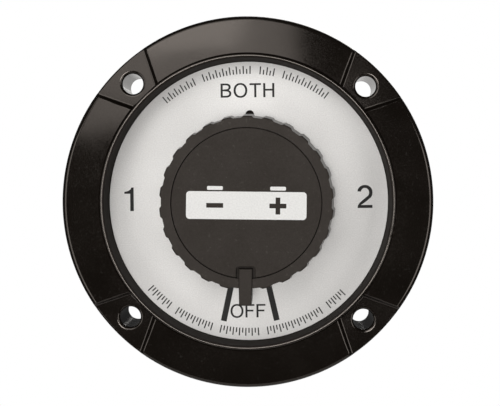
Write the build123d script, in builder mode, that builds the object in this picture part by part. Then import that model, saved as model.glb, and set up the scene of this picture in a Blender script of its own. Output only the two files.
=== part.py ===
from build123d import *
import os
from math import cos, radians, sin

# Four-position marine battery selector switch for panel mounting.
# Frame: the origin is the centre of the flange's back face (the mounting plane), the knob faces -Y,
# +Z is up and +X is to the right as seen from the front.
# A height is a distance in front of the mounting plane, so a height h lies at y = -h.

os.makedirs("parts", exist_ok=True)

# ---- flange and well of the housing
FLANGE_RADIUS = 66.675
FLANGE_TOP = 20.3
CROWN_TOP = 20.8
FLANGE_EDGE_RADIUS = 1.9
BACK_RELIEF = 0.8
BACK_RIM_RADIUS = 63.4
BACK_COLLAR_RADIUS = 52.0
BACK_MOUTH_RADIUS = 49.1
BACK_MOUTH_DEPTH = 1.0
BACK_RIB_COUNT = 24
BACK_RIB_THICKNESS = 1.8
WELL_RADIUS = 51.6
LIP_RADIUS = 53.1
LIP_TOP = 21.25
LIP_SHOULDER = 20.5
LIP_ROOT_DEPTH = 1.0
FLOOR_FRONT = 9.5
FLOOR_BACK = 6.5

# ---- barrel behind the housing
BARREL_INNER = 45.0
BARREL_OUTER = 48.6
BARREL_BACK = -10.0
BARREL_SEAT_RADIUS = 46.8
BARREL_SEAT_CLEARANCE = 0.05

# ---- mounting lands and bores
MOUNT_CIRCLE_RADIUS = 59.25
MOUNT_BORE_RADIUS = 3.7
MOUNT_BOSS_RADIUS = 7.0
MOUNT_COUNT = 4
MOUNT_START = 45
BORE_MOUTH_FILLET = 1.0
LAND_HEIGHT = 19.0
LAND_INNER_HALF = 5.6
LAND_OUTER_HALF = 13.0
LAND_OVERHANG = 1.5
LAND_CUT_HEIGHT = 3.0
LAND_WALL_ANGLE = 32
LAND_FOOT_FILLET = 0.8
LAND_BRINK_FILLET = 0.7
LAND_BRINK_INSET = 0.6
LAND_BRINK_RISE = 1.0

# ---- label plate
LABEL_RADIUS = 51.35
LABEL_THICKNESS = 0.6
LOCATOR_CIRCLE = 31.9
LOCATOR_HOLE = 1.6
LOCATOR_PIN = 1.15
LOCATOR_PIN_PROUD = 0.2

# ---- shaft and its bushing in the housing's floor
SHAFT_BORE = 7.0
SHAFT_RADIUS = 6.95
BUSHING_SHANK_RADIUS = 11.0
BUSHING_HEAD_RADIUS = 12.5
BUSHING_FRONT = 14.0
SQUARE_DRIVE = 9.4
DRIVE_CLEARANCE = 0.05
SEAL_HEIGHT = 11.6
SEAL_SECTION = 0.88
SEAL_CENTRE_RADIUS = 6.05
SEAL_GROOVE_ROOT = 5.15
SEAL_GROOVE_WIDTH = 2.0
SHAFT_PROUD = 0.2
SHAFT_TAIL_RADIUS = 4.5
SHAFT_TAIL_BACK = -3.6
RETAINING_GROOVE_ROOT = 3.7
RETAINING_GROOVE_OFFSET = 1.0
RETAINING_GROOVE_WIDTH = 0.9
RETAINING_RING_RADIUS = 6.4
RETAINING_RING_THICKNESS = 0.8
RETAINING_RING_GAP = 3.2
RETAINING_RING_CLEARANCE = 0.05
TAPPED_HOLE_RADIUS = 2.5
TAPPED_HOLE_DEPTH = 13.0
KNOB_SCREW_RADIUS = 2.45
KNOB_SCREW_LENGTH = 12.0
KNOB_SCREW_HEAD = 4.7
KNOB_SCREW_HEAD_HEIGHT = 3.0
KNOB_SCREW_HEAD_ROUND = 1.2
KNOB_SCREW_RECESS_LENGTH = 5.0
KNOB_SCREW_RECESS_WIDTH = 1.1
KNOB_SCREW_RECESS_DEPTH = 1.6
KNOB_WASHER_RADIUS = 7.2
KNOB_WASHER_BORE = 2.75
KNOB_WASHER_THICKNESS = 1.0

# ---- knob and cap
KNOB_FRONT = 34.5
KNOB_BACK = 17.5
RIDGE_COUNT = 26
RIDGE_DEPTH = 0.6
RIDGE_DUTY = 0.5
RIDGE_FLANK = 0.12
KNOB_FRONT_RADIUS = 29.85
KNOB_BACK_RADIUS = 31.6
KNOB_EDGE_RADIUS = 0.7
DECK_FRONT = 32.3
CAP_POCKET_RADIUS = 26.0
CAP_RADIUS = 25.8
CAP_FRONT = 34.45
CAP_EDGE_RADIUS = 0.3
HUB_RADIUS = 11.5
HUB_BACK = 14.3
HUB_SEAT = 26.0
WELL_IN_KNOB_RADIUS = 8.0
POINTER_WIDTH = 4.7
POINTER_TIP_WIDTH = 4.2
POINTER_INNER = 22.4
POINTER_TAPER_START = 27.3
POINTER_ROOT_DEPTH = 1.0
POINTER_TIP = 35.1
POINTER_FRONT = 35.1
POINTER_BACK = 21.0
POINTER_FILLET = 0.45
NOTCH_SIDE = 0.9
NOTCH_END = 0.55
NOTCH_CORNER = 1.0
CAP_LEG_COUNT = 3
CAP_LEG_CIRCLE = 22.0
CAP_LEG_RADIUS = 1.5
CAP_LEG_LENGTH = 2.3
CAP_LEG_CLEARANCE = 0.05

# ---- rotor, detents and moving contact
ROTOR_RADIUS = 30.0
ROTOR_FRONT = 5.5
ROTOR_BACK = -1.6
THRUST_WASHER_RADIUS = 14.0
THRUST_WASHER_FRONT = 6.4
ROTOR_GROOVE_OUTER = 24.0
ROTOR_GROOVE_INNER = 16.0
ROTOR_GROOVE_DEPTH = 3.5
ROTOR_GROOVE_BRIDGE = 10.0
DETENT_RING_INNER = 30.6
DETENT_RING_OUTER = 33.8
DETENT_RING_BACK = -1.4
DETENT_COUNT = 4
BALL_RADIUS = 3.0
BALL_CENTRE = 27.5
BALL_TRAVEL = 1.0
BALL_HEIGHT = 2.1
BALL_BORE_CLEARANCE = 0.08
BALL_BORE_BOTTOM = 12.5
DETENT_COIL_RADIUS = 2.3
DETENT_COIL_TURNS = 6
CONTACT_COIL_RADIUS = 2.6
CONTACT_COIL_TURNS = 4
SPRING_WIRE_RADIUS = 0.4
SPRING_END_GAP = 0.05
NOTCH_RADIUS = 3.3
CONTACT_SPRING_CIRCLE = 12.0
CONTACT_SPRING_POCKET = 3.2
CONTACT_SPRING_POCKET_FRONT = 3.4
MOVING_CONTACT_FRONT = -4.05
MOVING_CONTACT_BACK = -6.45
MOVING_RING_INNER = 7.0
MOVING_RING_OUTER = 17.0
MOVING_ARM_OUTER = 29.0
MOVING_ARM_HALF_ANGLE = 10
LUG_CIRCLE = 12.0
LUG_WIDTH = 3.0
LUG_LENGTH = 5.0
LUG_BACK = -5.8
LUG_CLEARANCE = 0.3

# ---- fixed contacts
FIXED_CONTACT_FRONT = -6.5
FIXED_CONTACT_BACK = -9.0
TRACK_INNER = 17.8
TRACK_OUTER = 29.6
TRACK_1_START, TRACK_1_END = 92, 195
TRACK_2_START, TRACK_2_END = -15, 88
COMMON_INNER = 7.5
COMMON_OUTER = 13.8
COMMON_STRAP_WIDTH = 10.4

# ---- rear cover, gasket and screws
COVER_RADIUS = 48.6
COVER_FRONT = -10.8
COVER_BACK = -14.5
SPIGOT_RADIUS = 44.7
SPIGOT_FRONT = -9.0
BARRIER_BACK = -27.0
BARRIER_THICKNESS = 3.0
BARRIER_HUB_RADIUS = 8.0
BARRIER_OUTER = 45.0
BARRIER_START = 90
GASKET_INNER = 45.2
COVER_SCREW_CIRCLE = 41.6
COVER_SCREW_COUNT = 6
COVER_SCREW_BOSS = 3.6
COVER_SCREW_RADIUS = 1.7
COVER_SCREW_PILOT = 1.75
COVER_SCREW_HOLE = 2.0
COVER_SCREW_HEAD = 3.4
COVER_SCREW_HEAD_HEIGHT = 2.4
COVER_SCREW_END = -1.0
COVER_SCREW_HEAD_ROUND = 1.0
COVER_SCREW_RECESS_LENGTH = 3.6
COVER_SCREW_RECESS_WIDTH = 0.9
COVER_SCREW_RECESS_DEPTH = 1.3

# ---- terminal studs (3/8 in) and their hardware
STUD_CIRCLE = 25.0
STUD_COUNT = 3
STUD_RADIUS = 4.76
STUD_ENGAGED_RADIUS = 4.37
STUD_FREE_GAP = 0.5
STUD_1_ANGLE, STUD_2_ANGLE, STUD_COMMON_ANGLE = 150, 30, 270
STUD_HEAD_RADIUS = 8.0
STUD_HEAD_HEIGHT = 2.0
STUD_HEAD_CLEARANCE = 0.1
STUD_BACK = -43.0
STUD_TIP_CHAMFER = 0.8
STUD_HOLE = 4.95
NUT_BORE = 4.4
NUT_ACROSS_FLATS = 14.3
NUT_CORNER_CHAMFER = 0.8
JAM_NUT_HEIGHT = 5.6
TERMINAL_NUT_HEIGHT = 8.2
WASHER_RADIUS = 10.2
WASHER_BORE = 5.1
WASHER_THICKNESS = 1.6
LOCK_WASHER_RADIUS = 8.4
LOCK_WASHER_THICKNESS = 2.4
LOCK_WASHER_GAP = 1.4
LOCK_WASHER_BAND = 3.0

# A turned section: its first coordinate is the radius and its second the height.
SECTION = Plane(origin=(0, 0, 0), x_dir=(1, 0, 0), z_dir=(0, 0, -1))


def face_on(height):
    """The plane at a height, seen from the front: x to the right, y up, extruding forwards."""
    return Plane.XZ.offset(height)


def polar(radius, angle):
    """A point on a circle, in a face-on plane."""
    return (radius * cos(radians(angle)), radius * sin(radians(angle)))


def off_axis(edge):
    """How far an edge's middle is from the knob's axis."""
    middle = edge.center()
    return (middle.X ** 2 + middle.Z ** 2) ** 0.5


def front_height(edge):
    """The height of an edge's foremost point."""
    return -edge.bounding_box().min.Y


def band_sketch(inner, outer, start, end):
    """A flat band between two radii, from one angle to another."""
    with BuildSketch() as band:
        with BuildLine():
            outside = CenterArc((0, 0), outer, start, end - start)
            inside = CenterArc((0, 0), inner, start, end - start)
            Line(outside @ 0, inside @ 0)
            Line(outside @ 1, inside @ 1)
        make_face()
    return band.sketch


def ridged_sketch(radius):
    """A circle with flat-topped grip ridges; the first ridge is centred at twelve o'clock."""
    root = radius - RIDGE_DEPTH
    pitch = 360 / RIDGE_COUNT
    half_top = pitch * (RIDGE_DUTY - RIDGE_FLANK) / 2
    half_foot = pitch * (RIDGE_DUTY + RIDGE_FLANK) / 2
    with BuildSketch() as outline:
        with BuildLine():
            for ridge in range(RIDGE_COUNT):
                middle = 90 + ridge * pitch
                top = CenterArc((0, 0), radius, middle - half_top, 2 * half_top)
                valley = CenterArc((0, 0), root, middle + half_foot, pitch - 2 * half_foot)
                Line(top @ 1, valley @ 0)
                Line(polar(root, middle - half_foot), top @ 0)
        make_face()
    return outline.sketch


def coil_spring(coil_radius, length, turns):
    """A round-wire compression spring that stands on the XY plane, along +Z."""
    run = length - 2 * SPRING_WIRE_RADIUS
    with BuildPart() as spring:
        with BuildLine():
            wire = Helix(pitch=run / turns, height=run, radius=coil_radius, center=(0, 0, SPRING_WIRE_RADIUS))
        with BuildSketch(Plane(origin=wire @ 0, z_dir=wire % 0)):
            Circle(SPRING_WIRE_RADIUS)
        sweep()
    return spring.part


def save(builder, name):
    """Label a finished piece and write it to its own STEP file."""
    builder.part.label = name
    export_step(builder.part, f"parts/{name}.step")


# ---- housing: one thick moulding with the flange and the well

with BuildPart() as housing:
    with BuildSketch(SECTION):
        with BuildLine():
            edge_start = (FLANGE_RADIUS, FLANGE_TOP - FLANGE_EDGE_RADIUS)
            edge_end = (FLANGE_RADIUS - FLANGE_EDGE_RADIUS, FLANGE_TOP)
            Line((FLANGE_RADIUS, 0), edge_start)
            TangentArc(edge_start, edge_end, tangent=(0, 1))
            crown_middle = ((edge_end[0] + LIP_RADIUS) / 2, FLANGE_TOP + 0.6 * (CROWN_TOP - FLANGE_TOP))
            ThreePointArc(edge_end, crown_middle, (LIP_RADIUS + 0.3, CROWN_TOP))
            Polyline(
                (LIP_RADIUS + 0.3, CROWN_TOP),
                (LIP_RADIUS, LIP_SHOULDER),
                (WELL_RADIUS, LIP_SHOULDER),
                (WELL_RADIUS, FLOOR_FRONT),
                (BUSHING_SHANK_RADIUS, FLOOR_FRONT),
                (BUSHING_SHANK_RADIUS, FLOOR_BACK),
                (BARREL_SEAT_RADIUS + BARREL_SEAT_CLEARANCE, FLOOR_BACK),
                (BARREL_SEAT_RADIUS + BARREL_SEAT_CLEARANCE, BACK_MOUTH_DEPTH),
                (BACK_MOUTH_RADIUS, BACK_MOUTH_DEPTH),
                (BACK_MOUTH_RADIUS, 0),
                (BACK_COLLAR_RADIUS, 0),
                (BACK_COLLAR_RADIUS, BACK_RELIEF),
                (BACK_RIM_RADIUS, BACK_RELIEF),
                (BACK_RIM_RADIUS, 0),
                (FLANGE_RADIUS, 0),
            )
        make_face()
    revolve(axis=Axis.Y)

    # feet around the screws and ribs between them, which meet the panel with the rim and the collar
    with BuildSketch(face_on(0)):
        with PolarLocations(MOUNT_CIRCLE_RADIUS, MOUNT_COUNT, start_angle=MOUNT_START):
            Circle(MOUNT_BOSS_RADIUS)
        for rib in range(BACK_RIB_COUNT):
            rib_angle = 360 / BACK_RIB_COUNT * rib
            rib_middle = polar((BACK_COLLAR_RADIUS + BACK_RIM_RADIUS) / 2, rib_angle)
            with Locations(Location((*rib_middle, 0), rib_angle)):
                Rectangle(BACK_RIM_RADIUS - BACK_COLLAR_RADIUS + 1, BACK_RIB_THICKNESS)
    extrude(amount=BACK_RELIEF)

    # wedge-shaped lands, recessed in the flange around each mounting bore
    with BuildSketch(face_on(LAND_HEIGHT)):
        with PolarLocations(0, MOUNT_COUNT, start_angle=MOUNT_START):
            Polygon(
                (LIP_RADIUS, -LAND_INNER_HALF),
                (FLANGE_RADIUS + LAND_OVERHANG, -LAND_OUTER_HALF),
                (FLANGE_RADIUS + LAND_OVERHANG, LAND_OUTER_HALF),
                (LIP_RADIUS, LAND_INNER_HALF),
                align=None,
            )
    extrude(amount=LAND_CUT_HEIGHT, taper=-LAND_WALL_ANGLE, mode=Mode.SUBTRACT)
    land_faces = housing.faces().filter_by(Axis.Y).filter_by_position(Axis.Y, -LAND_HEIGHT, -LAND_HEIGHT)
    land_feet = land_faces.edges().filter_by(GeomType.LINE)
    fillet(land_feet, LAND_FOOT_FILLET)
    land_wall_edges = housing.faces().filter_by(GeomType.BSPLINE).edges()
    outer_edges = land_wall_edges.filter_by(lambda edge: off_axis(edge) > LIP_RADIUS + LAND_BRINK_INSET)
    land_brinks = outer_edges.filter_by(lambda edge: front_height(edge) > LAND_HEIGHT + LAND_BRINK_RISE)
    fillet(land_brinks, LAND_BRINK_FILLET)

    # rounded lip around the well's mouth, which also closes the inner end of each land
    with BuildSketch(SECTION):
        with BuildLine():
            Polyline(
                (WELL_RADIUS, LIP_SHOULDER),
                (WELL_RADIUS, LAND_HEIGHT - LIP_ROOT_DEPTH),
                (LIP_RADIUS, LAND_HEIGHT - LIP_ROOT_DEPTH),
                (LIP_RADIUS, LIP_SHOULDER),
            )
            ThreePointArc(
                (LIP_RADIUS, LIP_SHOULDER),
                ((WELL_RADIUS + LIP_RADIUS) / 2, LIP_TOP),
                (WELL_RADIUS, LIP_SHOULDER),
            )
        make_face()
    revolve(axis=Axis.Y)

    # mounting bores with rounded mouths
    with BuildSketch(face_on(0)):
        with PolarLocations(MOUNT_CIRCLE_RADIUS, MOUNT_COUNT, start_angle=MOUNT_START):
            Circle(MOUNT_BORE_RADIUS)
    extrude(amount=LIP_TOP, mode=Mode.SUBTRACT)
    bore_edges = housing.edges().filter_by(GeomType.CIRCLE)
    bore_edges = bore_edges.filter_by(lambda edge: abs(edge.radius - MOUNT_BORE_RADIUS) < 0.01)
    fillet(bore_edges.filter_by_position(Axis.Y, -LAND_HEIGHT, -LAND_HEIGHT), BORE_MOUTH_FILLET)

    # pin that locates the label plate at twelve o'clock
    with BuildSketch(face_on(FLOOR_FRONT)):
        with Locations(polar(LOCATOR_CIRCLE, 90)):
            Circle(LOCATOR_PIN)
    extrude(amount=LABEL_THICKNESS + LOCATOR_PIN_PROUD)

save(housing, "housing")


# ---- barrel: the drum that holds the contacts, seated in the back of the housing

with BuildPart() as barrel:
    with BuildSketch(SECTION):
        Polygon(
            (BARREL_INNER, BARREL_BACK),
            (BARREL_OUTER, BARREL_BACK),
            (BARREL_OUTER, 0),
            (BARREL_SEAT_RADIUS, 0),
            (BARREL_SEAT_RADIUS, FLOOR_BACK),
            (BARREL_INNER, FLOOR_BACK),
            align=None,
        )
    revolve(axis=Axis.Y)
    # bosses for the cover screws, joined to the wall, with pilot holes
    with BuildSketch(face_on(SPIGOT_FRONT)):
        with PolarLocations(COVER_SCREW_CIRCLE, COVER_SCREW_COUNT):
            Circle(COVER_SCREW_BOSS)
    extrude(amount=FLOOR_BACK - SPIGOT_FRONT)
    with BuildSketch(face_on(SPIGOT_FRONT)):
        with PolarLocations(COVER_SCREW_CIRCLE, COVER_SCREW_COUNT):
            Circle(COVER_SCREW_PILOT)
    extrude(amount=COVER_SCREW_END + 1 - SPIGOT_FRONT, mode=Mode.SUBTRACT)

save(barrel, "barrel")


# ---- detent ring, fixed to the housing's floor, with a notch at each of the four positions

with BuildPart() as detent_ring:
    with BuildSketch(face_on(DETENT_RING_BACK)):
        Circle(DETENT_RING_OUTER)
        Circle(DETENT_RING_INNER, mode=Mode.SUBTRACT)
    extrude(amount=FLOOR_BACK - DETENT_RING_BACK)
    with BuildSketch(face_on(DETENT_RING_BACK)):
        with PolarLocations(BALL_CENTRE + BALL_TRAVEL, DETENT_COUNT):
            Circle(NOTCH_RADIUS)
    extrude(amount=ROTOR_FRONT - DETENT_RING_BACK, mode=Mode.SUBTRACT)

save(detent_ring, "detent_ring")


with BuildPart() as label_plate:
    with BuildSketch(face_on(FLOOR_FRONT)):
        Circle(LABEL_RADIUS)
        Circle(BUSHING_SHANK_RADIUS, mode=Mode.SUBTRACT)
        with Locations(polar(LOCATOR_CIRCLE, 90)):
            Circle(LOCATOR_HOLE, mode=Mode.SUBTRACT)
    extrude(amount=LABEL_THICKNESS)

save(label_plate, "label_plate")


# ---- bushing for the shaft, pressed into the floor and holding the label plate down

with BuildPart() as shaft_bushing:
    with BuildSketch(face_on(FLOOR_BACK)):
        Circle(BUSHING_SHANK_RADIUS)
    extrude(amount=FLOOR_FRONT + LABEL_THICKNESS - FLOOR_BACK)
    with BuildSketch(face_on(FLOOR_FRONT + LABEL_THICKNESS)):
        Circle(BUSHING_HEAD_RADIUS)
    extrude(amount=BUSHING_FRONT - FLOOR_FRONT - LABEL_THICKNESS)
    with BuildSketch(face_on(FLOOR_BACK)):
        Circle(SHAFT_BORE)
    extrude(amount=BUSHING_FRONT - FLOOR_BACK, mode=Mode.SUBTRACT)

save(shaft_bushing, "shaft_bushing")


# ---- knob: a solid ridged moulding with a hub behind and the pointer bar

with BuildPart() as knob:
    with BuildSketch(face_on(KNOB_BACK)):
        add(ridged_sketch(KNOB_BACK_RADIUS))
    with BuildSketch(face_on(KNOB_FRONT)):
        add(ridged_sketch(KNOB_FRONT_RADIUS))
    loft(ruled=True)

    # rounded front edge
    with BuildSketch(SECTION):
        with BuildLine():
            rounding_start = (KNOB_FRONT_RADIUS + 0.2, KNOB_FRONT - KNOB_EDGE_RADIUS)
            rounding_end = (KNOB_FRONT_RADIUS + 0.2 - KNOB_EDGE_RADIUS, KNOB_FRONT)
            Line((0, KNOB_BACK), (KNOB_BACK_RADIUS + 2, KNOB_BACK))
            Line((KNOB_BACK_RADIUS + 2, KNOB_BACK), (KNOB_BACK_RADIUS + 2, rounding_start[1]))
            Line((KNOB_BACK_RADIUS + 2, rounding_start[1]), rounding_start)
            TangentArc(rounding_start, rounding_end, tangent=(0, 1))
            Line(rounding_end, (0, KNOB_FRONT))
            Line((0, KNOB_FRONT), (0, KNOB_BACK))
        make_face()
    revolve(axis=Axis.Y, mode=Mode.INTERSECT)

    # hub behind
    with BuildSketch(face_on(HUB_BACK)):
        Circle(HUB_RADIUS)
    extrude(amount=KNOB_BACK - HUB_BACK)

    # pocket for the cap, and the well down to the knob screw
    with BuildSketch(face_on(DECK_FRONT)):
        Circle(CAP_POCKET_RADIUS)
    extrude(amount=KNOB_FRONT + 1 - DECK_FRONT, mode=Mode.SUBTRACT)
    with BuildSketch(face_on(HUB_SEAT)):
        Circle(WELL_IN_KNOB_RADIUS)
    extrude(amount=DECK_FRONT + 1 - HUB_SEAT, mode=Mode.SUBTRACT)
    with BuildSketch(face_on(HUB_BACK)):
        Rectangle(SQUARE_DRIVE + 2 * DRIVE_CLEARANCE, SQUARE_DRIVE + 2 * DRIVE_CLEARANCE)
    extrude(amount=HUB_SEAT - HUB_BACK + 1, mode=Mode.SUBTRACT)

    # sockets for the cap's legs
    with BuildSketch(face_on(DECK_FRONT)):
        with PolarLocations(CAP_LEG_CIRCLE, CAP_LEG_COUNT, start_angle=90):
            Circle(CAP_LEG_RADIUS + CAP_LEG_CLEARANCE)
    extrude(amount=-(CAP_LEG_LENGTH + CAP_LEG_CLEARANCE), mode=Mode.SUBTRACT)

    # pointer bar: out through the side below, and let into the deck inside the cap's notch
    with BuildSketch(face_on(POINTER_BACK)):
        Polygon(
            (-POINTER_WIDTH / 2, -POINTER_TAPER_START),
            (-POINTER_TIP_WIDTH / 2, -POINTER_TIP),
            (POINTER_TIP_WIDTH / 2, -POINTER_TIP),
            (POINTER_WIDTH / 2, -POINTER_TAPER_START),
            align=None,
        )
    extrude(amount=POINTER_FRONT - POINTER_BACK)
    with BuildSketch(face_on(DECK_FRONT - POINTER_ROOT_DEPTH)):
        Polygon(
            (-POINTER_WIDTH / 2, -POINTER_INNER),
            (-POINTER_WIDTH / 2, -POINTER_TAPER_START),
            (POINTER_WIDTH / 2, -POINTER_TAPER_START),
            (POINTER_WIDTH / 2, -POINTER_INNER),
            align=None,
        )
    extrude(amount=POINTER_FRONT - DECK_FRONT + POINTER_ROOT_DEPTH)
    pointer_face = knob.faces().filter_by(Axis.Y).sort_by(Axis.Y)[0]
    fillet(pointer_face.edges(), POINTER_FILLET)

save(knob, "knob")


with BuildPart() as knob_cap:
    with BuildSketch(face_on(DECK_FRONT)):
        Circle(CAP_RADIUS)
        notch_half = POINTER_WIDTH / 2 + NOTCH_SIDE
        with Locations((0, -CAP_RADIUS)):
            RectangleRounded(2 * notch_half, 2 * (CAP_RADIUS - POINTER_INNER + NOTCH_END), NOTCH_CORNER,
                             mode=Mode.SUBTRACT)
    extrude(amount=CAP_FRONT - DECK_FRONT)
    cap_rim = knob_cap.faces().sort_by(Axis.Y)[0].edges()
    fillet(cap_rim, CAP_EDGE_RADIUS)
    with BuildSketch(face_on(DECK_FRONT)):
        with PolarLocations(CAP_LEG_CIRCLE, CAP_LEG_COUNT, start_angle=90):
            Circle(CAP_LEG_RADIUS)
    extrude(amount=-CAP_LEG_LENGTH)

save(knob_cap, "knob_cap")


# ---- shaft with its seal, screw and washers

with BuildPart() as shaft:
    with BuildSketch(face_on(ROTOR_FRONT)):
        Circle(SHAFT_RADIUS)
    extrude(amount=BUSHING_FRONT + SHAFT_PROUD - ROTOR_FRONT)
    with BuildSketch(face_on(ROTOR_BACK)):
        Rectangle(SQUARE_DRIVE, SQUARE_DRIVE)
    extrude(amount=HUB_SEAT - 0.2 - ROTOR_BACK)
    with BuildSketch(face_on(SHAFT_TAIL_BACK)):
        Circle(SHAFT_TAIL_RADIUS)
    extrude(amount=ROTOR_BACK - SHAFT_TAIL_BACK)
    # grooves for the seal and the retaining ring
    with BuildSketch(face_on(SEAL_HEIGHT - SEAL_GROOVE_WIDTH / 2)):
        Circle(SHAFT_RADIUS + 1)
        Circle(SEAL_GROOVE_ROOT, mode=Mode.SUBTRACT)
    extrude(amount=SEAL_GROOVE_WIDTH, mode=Mode.SUBTRACT)
    with BuildSketch(face_on(ROTOR_BACK - RETAINING_GROOVE_OFFSET)):
        Circle(SHAFT_TAIL_RADIUS + 1)
        Circle(RETAINING_GROOVE_ROOT, mode=Mode.SUBTRACT)
    extrude(amount=RETAINING_GROOVE_WIDTH, mode=Mode.SUBTRACT)
    # tapped hole for the knob screw
    with BuildSketch(face_on(HUB_SEAT)):
        Circle(TAPPED_HOLE_RADIUS)
    extrude(amount=-TAPPED_HOLE_DEPTH, mode=Mode.SUBTRACT)

save(shaft, "shaft")


with BuildPart() as shaft_seal:
    with BuildSketch(SECTION):
        with Locations((SEAL_CENTRE_RADIUS, SEAL_HEIGHT)):
            Circle(SEAL_SECTION)
    revolve(axis=Axis.Y)

save(shaft_seal, "shaft_seal")


with BuildPart() as knob_washer:
    with BuildSketch(face_on(HUB_SEAT)):
        Circle(KNOB_WASHER_RADIUS)
        Circle(KNOB_WASHER_BORE, mode=Mode.SUBTRACT)
    extrude(amount=KNOB_WASHER_THICKNESS)

save(knob_washer, "knob_washer")


with BuildPart() as knob_screw:
    with BuildSketch(face_on(HUB_SEAT - KNOB_SCREW_LENGTH)):
        Circle(KNOB_SCREW_RADIUS)
    extrude(amount=KNOB_SCREW_LENGTH + KNOB_WASHER_THICKNESS)
    with BuildSketch(face_on(HUB_SEAT + KNOB_WASHER_THICKNESS)):
        Circle(KNOB_SCREW_HEAD)
    extrude(amount=KNOB_SCREW_HEAD_HEIGHT)
    fillet(knob_screw.faces().sort_by(Axis.Y)[0].edges(), KNOB_SCREW_HEAD_ROUND)
    # cross recess
    screw_front = HUB_SEAT + KNOB_WASHER_THICKNESS + KNOB_SCREW_HEAD_HEIGHT
    with BuildSketch(face_on(screw_front)):
        Rectangle(KNOB_SCREW_RECESS_LENGTH, KNOB_SCREW_RECESS_WIDTH)
        Rectangle(KNOB_SCREW_RECESS_WIDTH, KNOB_SCREW_RECESS_LENGTH)
    extrude(amount=-KNOB_SCREW_RECESS_DEPTH, mode=Mode.SUBTRACT)

save(knob_screw, "knob_screw")


with BuildPart() as thrust_washer:
    with BuildSketch(face_on(ROTOR_FRONT)):
        Circle(THRUST_WASHER_RADIUS)
        Circle(SHAFT_BORE + 0.2, mode=Mode.SUBTRACT)
    extrude(amount=THRUST_WASHER_FRONT - ROTOR_FRONT)

save(thrust_washer, "thrust_washer")


with BuildPart() as retaining_ring:
    ring_back = ROTOR_BACK - RETAINING_GROOVE_OFFSET + RETAINING_RING_CLEARANCE
    with BuildSketch(face_on(ring_back)):
        Circle(RETAINING_RING_RADIUS)
        Circle(RETAINING_GROOVE_ROOT + RETAINING_RING_CLEARANCE, mode=Mode.SUBTRACT)
        with Locations((0, -RETAINING_RING_RADIUS)):
            Rectangle(RETAINING_RING_GAP, 2 * RETAINING_GROOVE_ROOT, mode=Mode.SUBTRACT)
    extrude(amount=RETAINING_RING_THICKNESS)

save(retaining_ring, "retaining_ring")


# ---- rotor with detent bores, spring pockets and drive lugs

with BuildPart() as rotor:
    with BuildSketch(face_on(ROTOR_BACK)):
        Circle(ROTOR_RADIUS)
        Rectangle(SQUARE_DRIVE + 2 * DRIVE_CLEARANCE, SQUARE_DRIVE + 2 * DRIVE_CLEARANCE,
                  mode=Mode.SUBTRACT)
    extrude(amount=ROTOR_FRONT - ROTOR_BACK)
    # lugs that drive the moving contact
    with BuildSketch(face_on(LUG_BACK)):
        with PolarLocations(LUG_CIRCLE, 2):
            Rectangle(LUG_WIDTH, LUG_LENGTH)
    extrude(amount=ROTOR_BACK + 0.5 - LUG_BACK)
    # radial bores for the detent balls and springs
    for side in (-1, 1):
        with BuildSketch(Plane(origin=(side * BALL_BORE_BOTTOM, -BALL_HEIGHT, 0), z_dir=(side, 0, 0))):
            Circle(BALL_RADIUS + BALL_BORE_CLEARANCE)
        extrude(amount=ROTOR_RADIUS, mode=Mode.SUBTRACT)
    # pockets for the contact springs
    with BuildSketch(face_on(ROTOR_BACK)):
        with PolarLocations(CONTACT_SPRING_CIRCLE, 2, start_angle=90):
            Circle(CONTACT_SPRING_POCKET)
    extrude(amount=CONTACT_SPRING_POCKET_FRONT - ROTOR_BACK, mode=Mode.SUBTRACT)
    # lightening groove in the front face
    with BuildSketch(face_on(ROTOR_FRONT)):
        Circle(ROTOR_GROOVE_OUTER)
        Circle(ROTOR_GROOVE_INNER, mode=Mode.SUBTRACT)
        Rectangle(2 * ROTOR_RADIUS, ROTOR_GROOVE_BRIDGE, mode=Mode.SUBTRACT)
    extrude(amount=-ROTOR_GROOVE_DEPTH, mode=Mode.SUBTRACT)

save(rotor, "rotor")


# ---- detent balls and springs, one set on each side

DETENT_SPRING_LENGTH = BALL_CENTRE - BALL_RADIUS - BALL_BORE_BOTTOM - SPRING_END_GAP

for side, side_name in ((-1, "left"), (1, "right")):
    with BuildPart() as detent_ball:
        with Locations((side * BALL_CENTRE, -BALL_HEIGHT, 0)):
            Sphere(BALL_RADIUS)
    save(detent_ball, f"detent_ball_{side_name}")

    with BuildPart() as detent_spring:
        with Locations(Plane(origin=(side * BALL_BORE_BOTTOM, -BALL_HEIGHT, 0), z_dir=(side, 0, 0))):
            add(coil_spring(DETENT_COIL_RADIUS, DETENT_SPRING_LENGTH, DETENT_COIL_TURNS))
    save(detent_spring, f"detent_spring_{side_name}")


with BuildPart() as moving_contact:
    with BuildSketch(face_on(MOVING_CONTACT_BACK)):
        Circle(MOVING_RING_OUTER)
        add(band_sketch(MOVING_RING_OUTER - 2, MOVING_ARM_OUTER, 270 - MOVING_ARM_HALF_ANGLE,
                        270 + MOVING_ARM_HALF_ANGLE))
        Circle(MOVING_RING_INNER, mode=Mode.SUBTRACT)
        with PolarLocations(LUG_CIRCLE, 2):
            Rectangle(LUG_WIDTH + 2 * LUG_CLEARANCE, LUG_LENGTH + 2 * LUG_CLEARANCE, mode=Mode.SUBTRACT)
    extrude(amount=MOVING_CONTACT_FRONT - MOVING_CONTACT_BACK)

save(moving_contact, "moving_contact")


CONTACT_SPRING_LENGTH = CONTACT_SPRING_POCKET_FRONT - MOVING_CONTACT_FRONT - SPRING_END_GAP

with BuildPart() as contact_springs:
    for angle in (90, 270):
        across, up = polar(CONTACT_SPRING_CIRCLE, angle)
        with Locations(Plane(origin=(across, -MOVING_CONTACT_FRONT, up), z_dir=(0, -1, 0))):
            add(coil_spring(CONTACT_COIL_RADIUS, CONTACT_SPRING_LENGTH, CONTACT_COIL_TURNS))

save(contact_springs, "contact_springs")


# ---- fixed contacts on the inside of the rear cover

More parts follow.
